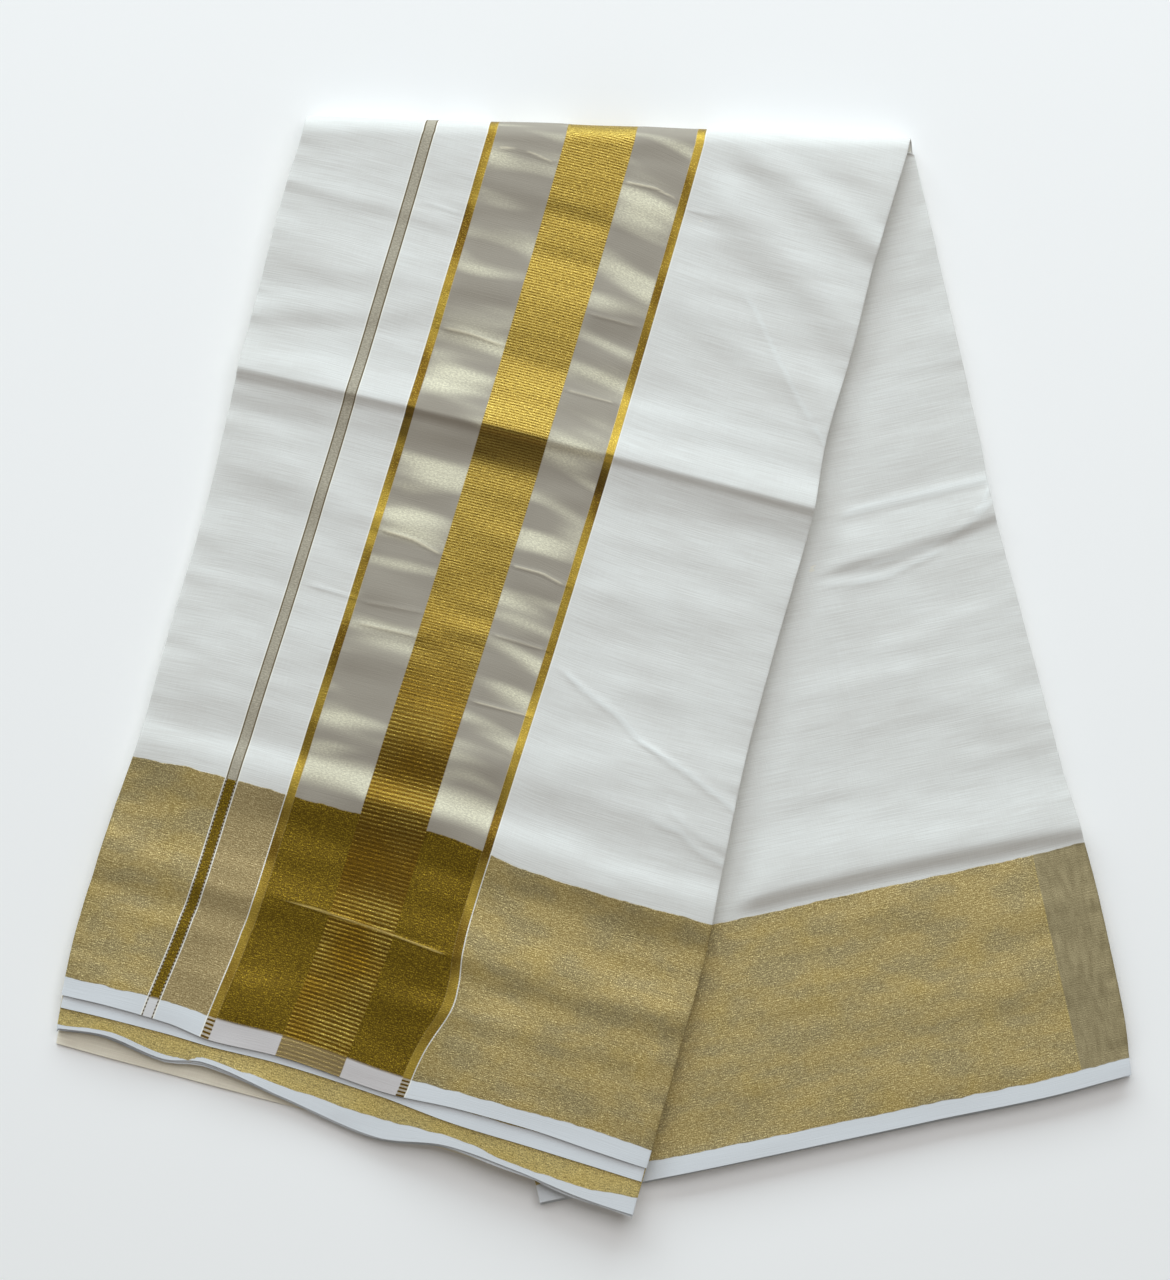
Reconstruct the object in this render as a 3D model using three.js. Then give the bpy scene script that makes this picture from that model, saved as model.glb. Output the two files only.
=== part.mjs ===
// A saree folded for storage and laid on a flat surface, in millimetres, +Z up.
//
// The cloth is book-folded along its length into a strip of many layers, and the strip is doubled over
// a slanted fold at the far end (+Y). Its two halves, the legs, fan out from that fold towards -Y: the
// right leg lies on the surface, and the left leg lies on it and drapes off its left edge.
//
// Each leg is a stack of leaves. A leg has its own plan frame: "across" runs to the right over the
// strip, "along" runs down the leg, and both are 0 at the middle of the fold's far side. A leaf is a
// wall made from sections across the leg, one for each station along it. The group is centred on its
// bounding box, so the origin is the middle of the rectangle that the saree covers, on the surface.
import * as THREE from "three";

// ---- Driving dimensions ----
const STRIP_WIDTH = 332; // the cloth's length is folded into strips of this width
const LEFT_LEAN = 14.8; // degrees from the -Y direction
const RIGHT_LEAN = -12.5;
const FOLD_SLOPE = 1.9; // degrees that the far fold drops towards the right
const WALL = 1.0; // one modelled leaf
const GAP = 0.5; // air between leaves
const LEG_THICKNESS = 8.4; // all the layers of one leg
const CURL_RADIUS = 2.0; // a leaf's long edges turn round this radius
const CURL_REACH = 2.3; // and end this far below, or above, the leaf's face
const CURL_STEPS = 3;
const DRAPE_WIDTH = 110; // the left leg comes down to the surface over this width
const FOLD_FADE = 150; // stations this far down a leg no longer follow the fold's slant
const HEM_FADE = 90; // stations this near the hem follow the hem's line

// ---- Heights of the lower faces, within one leg ----
const LAYER = WALL + GAP;
const LOWEST_LEAF = 0;
const HIDDEN_LAYERS = LAYER;
const TOP_LEAF = LEG_THICKNESS - WALL;
const SECOND_LEAF = TOP_LEAF - LAYER;
const THIRD_LEAF = SECOND_LEAF - LAYER;
const LEFT_LIFT = LEG_THICKNESS + GAP; // the left leg's underside where it lies on the right leg
const STACK_HEIGHT = LEFT_LIFT + LEG_THICKNESS;
const FOLD_RADIUS = STACK_HEIGHT / 2; // of the far fold's outside, and the height of its axis

// ---- Sections: the long edges of each leg, along and across the leg ----
const LEFT_SIDES = [
  { along: -40, left: -165, right: 166 },
  { along: 40, left: -166, right: 163.5 },
  { along: 90, left: -168, right: 164 },
  { along: 140, left: -167.5, right: 162.6 },
  { along: 185, left: -167.2, right: 166 },
  { along: 260, left: -165, right: 164.5 },
  { along: 330, left: -166.4, right: 164.3 },
  { along: 400, left: -167, right: 168 },
  { along: 440, left: -170.4, right: 170.4 },
  { along: 510, left: -173.3, right: 169.5 },
  { along: 550, left: -171.5, right: 168.6 },
  { along: 590, left: -168.5, right: 168.2 },
];
const RIGHT_SIDES = [
  { along: -45, left: -165, right: 165 },
  { along: 45, left: -165, right: 165 },
  { along: 218, left: -166, right: 165.2 },
  { along: 255, left: -166, right: 164 },
  { along: 340, left: -167, right: 167 },
  { along: 409, left: -167.5, right: 169 },
  { along: 444, left: -168, right: 171.6 },
  { along: 479, left: -168.5, right: 173 },
  { along: 548, left: -169, right: 172.2 },
  { along: 590, left: -169, right: 168.5 },
];

// ---- Hems: where each leaf of the left leg ends, and how far the wavy bundle stands up there ----
const LEFT_HEMS = [
  { across: -170, pallu: 550, second: 557, third: 569, inner: 577.5, rise: 1 },
  { across: -138, pallu: 549, second: 556, third: 565.5, inner: 577.8, rise: 3.2 },
  { across: -105, pallu: 550, second: 556, third: 570, inner: 577.8, rise: 0.8 },
  { across: -82, pallu: 553, second: 556.5, third: 566, inner: 577.8, rise: 2.8 },
  { across: -40, pallu: 552, second: 556, third: 573, inner: 577.8, rise: 0.8 },
  { across: 18, pallu: 556, second: 559, third: 581.5, inner: 578, rise: 0.2 },
  { across: 57, pallu: 554, second: 562.5, third: 575.5, inner: 578.5, rise: 2.8 },
  { across: 100, pallu: 554.5, second: 564, third: 579, inner: 580, rise: 1 },
  { across: 135, pallu: 557, second: 565.5, third: 584, inner: 580.5, rise: 0.6 },
  { across: 170, pallu: 559, second: 567, third: 586, inner: 580, rise: 0.3 },
];
const RIGHT_HEMS = [
  { across: -170, body: 580.5, base: 582.5 },
  { across: -60, body: 582.5, base: 584 },
  { across: 60, body: 583.5, base: 585.5 },
  { across: 120, body: 584.5, base: 586.5 },
  { across: 170, body: 582.5, base: 584 },
];
const RISE_FROM = 480; // the hem's waves start this far along the leg
const RISE_FULL = 565;

// ---- Folds that stand up from the two faces that show. Each rises gently towards its crest on the
// side of the far fold, and drops on the side of the hem; "at" gives the crest's place along the leg
// at the left end, the middle and the right end of its span.
const LEFT_FOLDS = [
  { from: -172, to: 172, at: [190, 183, 184], height: 5.2, gentle: 46, steep: 8 },
  { from: -172, to: 172, at: [366, 362, 374], height: 2.2, gentle: 48, steep: 24 },
  { from: -172, to: 172, at: [404, 402, 412], height: 2.4, gentle: 16, steep: 26 },
  { from: 60, to: 172, at: [22, 48, 84], height: 2.0, gentle: 24, steep: 18 },
  { from: 40, to: 172, at: [78, 96, 130], height: 1.6, gentle: 26, steep: 20 },
  { from: -172, to: 30, at: [112, 118, 120], height: 1.4, gentle: 26, steep: 22 },
  { from: -172, to: 172, at: [470, 468, 476], height: 1.2, gentle: 24, steep: 16 },
];
const RIGHT_FOLDS = [
  { from: 30, to: 175, at: [270, 270, 258], height: 2.6, gentle: 26, steep: 7 },
  { from: -80, to: 175, at: [438, 429, 436], height: 4.2, gentle: 60, steep: 15 },
];
const FOLD_TAPER = 22; // a fold that ends inside the leaf fades out over this length
const UNCOVERED = { from: 184, to: 206 }; // across the left leg: the right leg's folds rise beyond it

// ---- Stations along a leg after the far fold, closer together where the cloth has a fold ----
const PALLU_STATIONS = [
  26, 48, 75, 102, 130, 154, 170, 179, 185, 191, 200, 228, 258, 288, 315, 338, 355, 368, 382, 395, 404, 416,
  432, 455, 472, 490, 512, 535, 555,
];
const HEM_LEAF_STATIONS = [430, 455, 480, 505, 530, 548, 560];
const LEFT_LAYER_STATIONS = [45, 85, 125, 165, 205, 245, 285, 325, 365, 400, 422, 460, 500, 535, 572];
const BODY_STATIONS = [
  34, 64, 100, 140, 180, 215, 240, 252, 262, 268, 273, 280, 300, 335, 370, 395, 412, 424, 432, 439, 447, 460, 490,
  520, 552, 582,
];
const RIGHT_LAYER_STATIONS = [60, 130, 200, 270, 340, 410, 470, 520, 556, 582];
const HEM_LEAF_STEP = { start: 400, end: 422 }; // the hidden layers drop here to make room for the hem leaves
const PALLU_CELLS = 22; // cells across each leaf
const BODY_CELLS = 16;
const LAYER_CELLS = 16;
const BASE_CELLS = 8;
const TURN_STEPS = 8; // cells round the far fold

// ---- Small helpers ----
const radians = THREE.MathUtils.degToRad;
const mix = THREE.MathUtils.lerp;
const smooth = THREE.MathUtils.smoothstep;

// A table's column at a place, by a Catmull-Rom curve through its rows.
function read(table, key, column, place) {
  const last = table.length - 1;
  let row = 0;
  while (row < last - 1 && table[row + 1][key] < place) row++;
  const value = (index) => table[Math.min(Math.max(index, 0), last)][column];
  const span = table[row + 1][key] - table[row][key];
  const t = THREE.MathUtils.clamp((place - table[row][key]) / span, 0, 1);
  const [before, start, end, after] = [-1, 0, 1, 2].map((step) => value(row + step));
  const inward = (end - before) / 2;
  const outward = (after - start) / 2;
  return (
    (2 * t ** 3 - 3 * t ** 2 + 1) * start +
    (t ** 3 - 2 * t ** 2 + t) * inward +
    (3 * t ** 2 - 2 * t ** 3) * end +
    (t ** 3 - t ** 2) * outward
  );
}

// ---- The two legs ----
function makeLeg(leanDegrees, sides, folds) {
  const lean = radians(leanDegrees);
  return {
    sides,
    folds,
    across: new THREE.Vector2(Math.cos(lean), -Math.sin(lean)),
    along: new THREE.Vector2(-Math.sin(lean), -Math.cos(lean)),
    foldSlant: -Math.tan(lean - radians(FOLD_SLOPE)),
    foldStation: FOLD_RADIUS / Math.cos(lean - radians(FOLD_SLOPE)),
  };
}
const LEFT_LEG = makeLeg(LEFT_LEAN, LEFT_SIDES, LEFT_FOLDS);
const RIGHT_LEG = makeLeg(RIGHT_LEAN, RIGHT_SIDES, RIGHT_FOLDS);
const FOLD_OUTWARD = new THREE.Vector2(Math.sin(radians(FOLD_SLOPE)), Math.cos(radians(FOLD_SLOPE)));

const planPoint = (leg, across, along) =>
  leg.across.clone().multiplyScalar(across).addScaledVector(leg.along, along);

// Across a leg, share runs from -1 at its left edge to 1 at its right edge, and inset pulls both in.
const nominalAcross = (share, inset) => share * (STRIP_WIDTH / 2 - inset);

// Near the far fold the stations follow its slant.
function slanted(leg, share, station, inset) {
  const fade = Math.max(0, 1 - (station - leg.foldStation) / FOLD_FADE);
  return station + leg.foldSlant * nominalAcross(share, inset) * fade;
}

function placeAt(leg, share, along, inset) {
  const left = read(leg.sides, "along", "left", along) + inset;
  const right = read(leg.sides, "along", "right", along) - inset;
  const across = mix(left, right, (share + 1) / 2);
  return { across, along, plan: planPoint(leg, across, along) };
}

// The place of a station of a leaf or bundle, whose last stations follow its hem.
function placeOn({ leg, stations, hem }, share, station, inset) {
  const last = stations.at(-1);
  const nearHem = smooth(station, last - HEM_FADE, last);
  const hemShift = (hem(nominalAcross(share, inset)) - last) * nearHem;
  return placeAt(leg, share, slanted(leg, share, station, inset) + hemShift, inset);
}

// How far the left leg is held up at a plan point: full over the right leg, nothing once clear of it.
function drape(point) {
  const acrossRight = point.dot(RIGHT_LEG.across);
  const alongRight = point.dot(RIGHT_LEG.along);
  const clear = read(RIGHT_SIDES, "along", "left", alongRight) - acrossRight;
  return LEFT_LIFT * (1 - smooth(clear, 0, DRAPE_WIDTH));
}

// The waves of the left leg's hem, which every leaf above the lowest one follows.
function hemRise({ across, along }) {
  return read(LEFT_HEMS, "across", "rise", across) * smooth(along, RISE_FROM, RISE_FULL);
}

// The folds that stand up from a leg's face.
function relief(leg, across, along) {
  let height = 0;
  for (const fold of leg.folds) {
    const share = (across - fold.from) / (fold.to - fold.from);
    if (share < 0 || share > 1) continue;
    const [start, middle, end] = fold.at;
    const crest = mix(mix(start, middle, share), mix(middle, end, share), share);
    const side = along < crest ? fold.gentle : fold.steep;
    const fadeIn = fold.from < -STRIP_WIDTH / 2 ? 1 : smooth(across, fold.from, fold.from + FOLD_TAPER);
    const fadeOut = fold.to > STRIP_WIDTH / 2 ? 1 : 1 - smooth(across, fold.to - FOLD_TAPER, fold.to);
    height += fold.height * fadeIn * fadeOut * (1 - smooth(Math.abs(along - crest), 0, side));
  }
  return height;
}

// A point of the far fold: angle 0 is the start of the left leg, and pi is the start of the right leg.
function turnPoint(share, inset, angle, radius) {
  const start = (leg) => placeAt(leg, share, slanted(leg, share, leg.foldStation, inset), inset).plan;
  const plan = start(LEFT_LEG).lerp(start(RIGHT_LEG), angle / Math.PI);
  plan.addScaledVector(FOLD_OUTWARD, radius * Math.sin(angle));
  return new THREE.Vector3(plan.x, plan.y, FOLD_RADIUS + radius * Math.cos(angle));
}

// ---- Solids ----
// A closed solid between two sheets of points with the same rows and columns. Level 0 is the lower
// sheet, the last level is the upper one, and those between shape the rim alone.
function slab(rows, columns, levels, pointAt) {
  const positions = [];
  const index = [];
  const add = (point) => positions.push(...point.toArray()) / 3 - 1;
  const quad = (a, b, c, d) => index.push(a, b, c, a, c, d);

  const rim = [];
  for (let row = 0; row < rows - 1; row++) rim.push([row, 0]);
  for (let column = 0; column < columns - 1; column++) rim.push([rows - 1, column]);
  for (let row = rows - 1; row > 0; row--) rim.push([row, columns - 1]);
  for (let column = columns - 1; column > 0; column--) rim.push([0, column]);
  const rings = Array.from({ length: levels }, (_, level) =>
    rim.map(([row, column]) => add(pointAt(row, column, level))),
  );
  for (let level = 0; level < levels - 1; level++) {
    const [lower, upper] = [rings[level], rings[level + 1]];
    rim.forEach((_, step) => {
      const next = (step + 1) % rim.length;
      quad(lower[step], lower[next], upper[next], upper[step]);
    });
  }
  for (const level of [0, levels - 1]) {
    const onRim = new Map(rim.map(([row, column], step) => [row * columns + column, rings[level][step]]));
    const at = (row, column) => {
      const cell = row * columns + column;
      if (!onRim.has(cell)) onRim.set(cell, add(pointAt(row, column, level)));
      return onRim.get(cell);
    };
    for (let row = 0; row < rows - 1; row++) {
      for (let column = 0; column < columns - 1; column++) {
        const corners = [at(row, column), at(row + 1, column), at(row + 1, column + 1), at(row, column + 1)];
        quad(...(level === 0 ? corners.reverse() : corners));
      }
    }
  }
  const geometry = new THREE.BufferGeometry();
  geometry.setAttribute("position", new THREE.Float32BufferAttribute(positions, 3));
  geometry.setIndex(index);
  geometry.computeVertexNormals();
  return geometry;
}

// ---- Leaves ----
// The columns across a leaf, each with how far its outer and inner faces lie inside the edge and below
// the leaf's outer face. A curled leaf turns over at both edges.
function leafColumns(cells, curled) {
  const flat = Array.from({ length: cells + 1 }, (_, cell) => ({
    share: -1 + (2 * cell) / cells,
    outer: { inside: 0, down: 0 },
    inner: { inside: 0, down: WALL },
  }));
  if (!curled) return flat;
  const turn = [{ outer: { inside: 0, down: CURL_REACH }, inner: { inside: WALL, down: CURL_REACH } }];
  for (let step = 0; step <= CURL_STEPS; step++) {
    const angle = (step / CURL_STEPS) * (Math.PI / 2);
    const at = (radius) => ({
      inside: CURL_RADIUS - radius * Math.cos(angle),
      down: CURL_RADIUS - radius * Math.sin(angle),
    });
    turn.push({ outer: at(CURL_RADIUS), inner: at(CURL_RADIUS - WALL) });
  }
  const edge = (share) => turn.map((side) => ({ ...side, share }));
  return [...edge(-1), ...flat.slice(1, -1), ...edge(1).reverse()];
}

// A leaf of a leg. "height" gives its lower face at a place; "outward" is 1 when its outer face is up
// and -1 when it is down. A turned leaf also goes round the far fold, down to the surface.
function leaf({ leg, stations, hem, height, cells, inset = 0, curled = false, outward = 1, turned = false }) {
  const columns = leafColumns(cells, curled);
  const turnRows = turned ? TURN_STEPS : 0;
  return slab(turnRows + stations.length, columns.length, 2, (row, column, level) => {
    const { share, ...sides } = columns[column];
    const { inside, down } = level === (outward > 0 ? 1 : 0) ? sides.outer : sides.inner;
    if (row < turnRows) {
      return turnPoint(share, inset + inside, Math.PI * (1 - row / turnRows), FOLD_RADIUS - down);
    }
    const place = placeOn({ leg, stations, hem }, share, stations[row - turnRows], inset + inside);
    const lower = height(place);
    return new THREE.Vector3(place.plan.x, place.plan.y, outward > 0 ? lower + WALL - down : lower + down);
  });
}

// ---- The hidden layers: one solid from hem to hem round the far fold, its rim ribbed like the edges
// of stacked folds ----
const RIBS = 3;
const RIB_SECTION = [
  { up: 0, inset: 1.1 },
  { up: 0.2, inset: 0.3 },
  { up: 0.8, inset: 0.3 },
];

function foldedLayers({ right, left, inset }) {
  const levels = [];
  for (let rib = 0; rib < RIBS; rib++) {
    levels.push(...RIB_SECTION.map((level) => ({ up: (rib + level.up) / RIBS, inset: level.inset })));
  }
  levels.push({ up: 1, inset: RIB_SECTION[0].inset });
  const turnRows = TURN_STEPS - 1;
  const firstLeft = right.stations.length + turnRows;
  const rows = firstLeft + left.stations.length;
  return slab(rows, LAYER_CELLS + 1, levels.length, (row, column, level) => {
    const share = -1 + (2 * column) / LAYER_CELLS;
    const { up, inset: ribInset } = levels[level];
    const side = inset + ribInset;
    if (row >= right.stations.length && row < firstLeft) {
      const angle = Math.PI * (1 - (row - right.stations.length + 1) / TURN_STEPS);
      return turnPoint(share, side, angle, mix(GAP / 2 + LAYER, FOLD_RADIUS - LAYER, up));
    }
    const run = row < firstLeft ? right : left;
    const station = row < firstLeft ? run.stations.at(-1 - row) : run.stations[row - firstLeft];
    const atHem = row === 0 || row === rows - 1;
    const hem = (across) => run.hem(across) - (atHem ? ribInset : 0);
    const place = placeOn({ ...run, hem }, share, station, side);
    return new THREE.Vector3(place.plan.x, place.plan.y, mix(run.inner(place), run.outer(place), up));
  });
}

// ---- Materials ----
const material = (color, roughness, metalness) => new THREE.MeshStandardMaterial({ color, roughness, metalness });
const COTTON = material(0xe6e4df, 0.85, 0);
const SHADED_COTTON = material(0xd8cdb8, 0.9, 0);
const ZARI = material(0xab935c, 0.5, 0.5);

// ---- The saree ----
const hemOf = (table, column) => (across) => read(table, "across", column, across);
const fromFold = (leg, stations, gap = GAP) => [leg.foldStation + gap, ...stations];

const baseLeaf = leaf({
  leg: RIGHT_LEG,
  stations: fromFold(RIGHT_LEG, RIGHT_LAYER_STATIONS),
  hem: hemOf(RIGHT_HEMS, "base"),
  height: () => LOWEST_LEAF,
  cells: BASE_CELLS,
  curled: true,
  outward: -1,
});

const bodyLeaf = leaf({
  leg: RIGHT_LEG,
  stations: fromFold(RIGHT_LEG, BODY_STATIONS),
  hem: hemOf(RIGHT_HEMS, "body"),
  height: ({ plan, across, along }) => {
    const shows = smooth(plan.dot(LEFT_LEG.across), UNCOVERED.from, UNCOVERED.to);
    return TOP_LEAF + shows * relief(RIGHT_LEG, across, along);
  },
  cells: BODY_CELLS,
  curled: true,
});

const layers = foldedLayers({
  right: {
    leg: RIGHT_LEG,
    stations: fromFold(RIGHT_LEG, RIGHT_LAYER_STATIONS, 0),
    hem: (across) => hemOf(RIGHT_HEMS, "body")(across) - GAP,
    inner: () => TOP_LEAF - GAP,
    outer: () => HIDDEN_LAYERS,
  },
  left: {
    leg: LEFT_LEG,
    stations: fromFold(LEFT_LEG, LEFT_LAYER_STATIONS, 0),
    hem: (across) => hemOf(LEFT_HEMS, "third")(across) - LAYER,
    inner: ({ plan }) => drape(plan) + HIDDEN_LAYERS,
    outer: ({ plan, along }) => {
      const stepped = smooth(along, HEM_LEAF_STEP.start, HEM_LEAF_STEP.end);
      return drape(plan) + mix(TOP_LEAF, THIRD_LEAF, stepped) - GAP;
    },
  },
  inset: LAYER + GAP / 2,
});

const innerLeaf = leaf({
  leg: LEFT_LEG,
  stations: fromFold(LEFT_LEG, LEFT_LAYER_STATIONS),
  hem: hemOf(LEFT_HEMS, "inner"),
  height: ({ plan }) => drape(plan) + LOWEST_LEAF,
  cells: LAYER_CELLS,
});

const thirdLeaf = leaf({
  leg: LEFT_LEG,
  stations: HEM_LEAF_STATIONS,
  hem: hemOf(LEFT_HEMS, "third"),
  height: (place) => drape(place.plan) + THIRD_LEAF + hemRise(place),
  cells: PALLU_CELLS,
  inset: GAP,
});

const secondLeaf = leaf({
  leg: LEFT_LEG,
  stations: HEM_LEAF_STATIONS,
  hem: hemOf(LEFT_HEMS, "second"),
  height: (place) => drape(place.plan) + SECOND_LEAF + hemRise(place),
  cells: PALLU_CELLS,
  inset: LAYER,
});

const palluLeaf = leaf({
  leg: LEFT_LEG,
  stations: fromFold(LEFT_LEG, PALLU_STATIONS, 0),
  hem: hemOf(LEFT_HEMS, "pallu"),
  height: (place) =>
    drape(place.plan) + TOP_LEAF + hemRise(place) + relief(LEFT_LEG, place.across, place.along),
  cells: PALLU_CELLS,
  curled: true,
  turned: true,
});

function mesh(name, geometry, finish) {
  const made = new THREE.Mesh(geometry, finish);
  made.name = name;
  return made;
}

const saree = new THREE.Group();
saree.add(
  mesh("base_leaf", baseLeaf, COTTON),
  mesh("body_leaf", bodyLeaf, COTTON),
  mesh("folded_layers", layers, SHADED_COTTON),
  mesh("inner_leaf", innerLeaf, SHADED_COTTON),
  mesh("third_leaf", thirdLeaf, ZARI),
  mesh("second_leaf", secondLeaf, COTTON),
  mesh("pallu_leaf", palluLeaf, COTTON),
);
const bounds = new THREE.Box3().setFromObject(saree);
const middle = bounds.getCenter(new THREE.Vector3());
saree.position.set(-middle.x, -middle.y, -bounds.min.z);

export default saree;
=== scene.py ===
"""A folded kasavu saree: cream cotton with a gold zari border, lying flat and fanned out in two legs.

Sizes are in millimetres in a leg's own plan frame, as in the part's source: "across" runs to the
right over the folded strip, "along" runs down the leg from the far fold to the hem, and both are 0 at
the middle of the fold's far side. A station is a row of a sheet, and share runs from -1 to 1 across it.
"""

import math

import bpy
import numpy as np
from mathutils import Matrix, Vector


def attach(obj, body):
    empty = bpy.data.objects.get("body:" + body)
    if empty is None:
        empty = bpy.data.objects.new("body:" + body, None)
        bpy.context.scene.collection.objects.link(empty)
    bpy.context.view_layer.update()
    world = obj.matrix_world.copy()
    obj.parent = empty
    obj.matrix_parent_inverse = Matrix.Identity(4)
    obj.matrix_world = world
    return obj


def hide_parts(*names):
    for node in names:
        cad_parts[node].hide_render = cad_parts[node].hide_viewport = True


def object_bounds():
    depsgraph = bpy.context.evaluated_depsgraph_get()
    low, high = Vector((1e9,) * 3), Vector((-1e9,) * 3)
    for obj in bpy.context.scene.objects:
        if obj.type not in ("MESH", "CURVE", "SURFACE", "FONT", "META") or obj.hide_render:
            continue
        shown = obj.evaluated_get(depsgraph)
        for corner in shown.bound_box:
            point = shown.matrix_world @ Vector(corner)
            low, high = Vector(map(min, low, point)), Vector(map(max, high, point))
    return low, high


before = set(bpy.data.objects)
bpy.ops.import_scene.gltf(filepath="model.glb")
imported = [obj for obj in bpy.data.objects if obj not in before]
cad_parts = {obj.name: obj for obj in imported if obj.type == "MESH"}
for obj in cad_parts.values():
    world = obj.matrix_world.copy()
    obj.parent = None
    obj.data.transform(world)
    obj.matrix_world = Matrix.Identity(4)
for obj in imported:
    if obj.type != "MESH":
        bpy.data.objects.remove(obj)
cad_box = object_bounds()

# ---- The folding, as in the part's source ----
MM = 0.001
STRIP_WIDTH = 332.0
LEFT_LEAN = math.radians(14.8)
RIGHT_LEAN = math.radians(-12.5)
FOLD_SLOPE = math.radians(1.9)
GAP = 0.5
LEG_THICKNESS = 8.4
DRAPE_WIDTH = 110.0  # the left leg comes down to the surface over this width beside the right leg
FOLD_FADE = 150.0  # the rows of a leg lose the far fold's slant over this length
HEM_FADE = 90.0  # and take up the hem's own line over this length
LEFT_LIFT = LEG_THICKNESS + GAP
FOLD_RADIUS = (LEFT_LIFT + LEG_THICKNESS) / 2

# ---- The cloth ----
CLOTH = 0.26  # thickness
PAIRS = 8  # folded pairs of layers in a leg, numbered from the middle of the stack outwards
PITCH = LEG_THICKNESS / PAIRS
SLACK = 0.05  # air between a pair and the next
DROOP = 0.5  # a top leaf sinks by this at its edge
DROOP_REACH = 9.0
LOFT = 1.0  # the top of a leg lies this much higher than if its layers were packed flat
FOLLOW = 1.6  # how quickly the layers under a fold stop following it, as a power of their height
SAG = 0.6  # the layers under a top leaf's face lie this much lower away from their edges,
SAG_BELOW, SAG_OVER = 0.96, 0.12  # from this height in the leg, fully so this much further down,
SAG_INSIDE = (3, 12)  # and over this distance from the edge
TOP_FACE = 0.94  # of a leg's height: only the face of its top leaf lies above this
UNDERSIDE = 0.96  # of a leg's depth: only the face of its lowest leaf lies below this

LEFT_SIDES = dict(
    along=(-40, 40, 90, 140, 185, 260, 330, 400, 440, 510, 550, 590),
    left=(-165, -166, -168, -167.5, -167.2, -165, -166.4, -167, -170.4, -173.3, -171.5, -168.5),
    right=(166, 163.5, 164, 162.6, 166, 164.5, 164.3, 168, 170.4, 169.5, 168.6, 168.2),
)
RIGHT_SIDES = dict(
    along=(-45, 45, 218, 255, 340, 409, 444, 479, 548, 590),
    left=(-165, -165, -166, -166, -167, -167.5, -168, -168.5, -169, -169),
    right=(165, 165, 165.2, 164, 167, 169, 171.6, 173, 172.2, 168.5),
)

# Hems of the left leg's leaves, and how far their outer layers stand up there. A selvedge is the
# white band beyond the gold, and a border is how far up the leg the gold reaches from the hem.
LEFT_HEMS = dict(
    across=(-170, -138, -105, -82, -40, 18, 57, 100, 135, 170),
    pallu=(550, 549, 550, 553, 552, 556, 554, 554.5, 557, 559),
    second=(557, 556, 556, 556.5, 556, 559, 562.5, 564, 565.5, 567),
    third=(569, 565.5, 570, 566, 573, 581.5, 575.5, 579, 584, 586),
    inner=(577.5, 577.8, 577.8, 577.8, 577.8, 578, 578.5, 580, 580.5, 580),
    rise=(1, 3.2, 0.8, 2.8, 0.8, 0.2, 2.8, 1, 0.6, 0.3),
    pallu_selvedge=(10.5, 10.5, 11.5, 12.5, 11.5, 11, 9, 9, 11, 10.5),
    pallu_border=(138.5, 139.5, 140.5, 143, 142, 146, 138, 136, 138, 139.5),
    third_selvedge=(1, 1, 1, 1, 5, 10.5, 5, 3, 5.5, 10),
)
RIGHT_HEMS = dict(
    across=(-170, -60, 60, 120, 170),
    body=(580.5, 582.5, 583.5, 584.5, 582.5),
    base=(582.5, 584, 585.5, 586.5, 584),
    body_selvedge=(10, 10, 9.5, 9.5, 9.5),
    body_border=(131, 132, 132.5, 133, 131.5),
)
RISE_AT = (480.0, 565.0)  # the stations over which a hem rises
RISE_FOLLOW = 1.5  # how quickly the layers further down stop rising with it
SELVEDGE, BORDER_TOP, HALF_WIDTH = 11.0, 139.0, 580.0  # on the cloth itself, from its woven edge

# ---- Folds of the two top leaves: a crest's place along the leg at the left end, middle and right
# end of its span, and how far it falls away towards the fold and the hem. The main ones are in the
# part's source too, some of them a few millimetres off, and the rest are only here ----
LEFT_FOLDS = (
    dict(span=(-172, 172), at=(186, 179, 180), height=3.2, gentle=46, steep=5.5),
    dict(span=(-172, 172), at=(188, 181, 182), height=3.6, gentle=22, steep=22),
    dict(span=(-172, 172), at=(-6, -8, -4), height=2.8, gentle=24, steep=92),
    dict(span=(-172, 172), at=(364, 360, 370), height=2.2, gentle=48, steep=24),
    dict(span=(-172, 172), at=(401, 400, 410), height=2.9, gentle=15, steep=28),
    dict(span=(60, 172), at=(22, 48, 84), height=2.8, gentle=24, steep=24),
    dict(span=(40, 172), at=(78, 96, 130), height=1.6, gentle=26, steep=20),
    dict(span=(-172, 30), at=(112, 118, 120), height=1.4, gentle=26, steep=22),
    dict(span=(-172, 172), at=(470, 468, 476), height=1.2, gentle=24, steep=16),
    dict(span=(60, 172), at=(-8, 2, 34), height=2.2, gentle=16, steep=15),
    dict(span=(-172, -60), at=(75, 76, 78), height=1.0, gentle=12, steep=8),
    dict(span=(-172, -66), at=(152, 140, 128), height=1.2, gentle=15, steep=12),
    dict(span=(-172, -62), at=(218, 236, 254), height=1.1, gentle=20, steep=26),
    dict(span=(-172, -62), at=(324, 312, 334), height=1.3, gentle=32, steep=34),
    dict(span=(50, 172), at=(252, 258, 230), height=1.1, gentle=24, steep=20),
    dict(span=(50, 172), at=(358, 338, 336), height=1.1, gentle=32, steep=24),
)
RIGHT_FOLDS = (
    dict(span=(30, 175), at=(270, 270, 258), height=2.6, gentle=26, steep=6),
    dict(span=(-80, 175), at=(442, 434, 441), height=4.6, gentle=40, steep=11),
    dict(span=(70, 175), at=(322, 352, 402), height=1.0, gentle=34, steep=26),
    dict(span=(90, 175), at=(186, 160, 150), height=0.8, gentle=30, steep=30),
)
FOLD_TAPER = 22.0  # a crest that ends inside the leg fades out over this length
UNCOVERED = (173.0, 192.0)  # across the left leg: the right leg's folds rise beyond it

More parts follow.
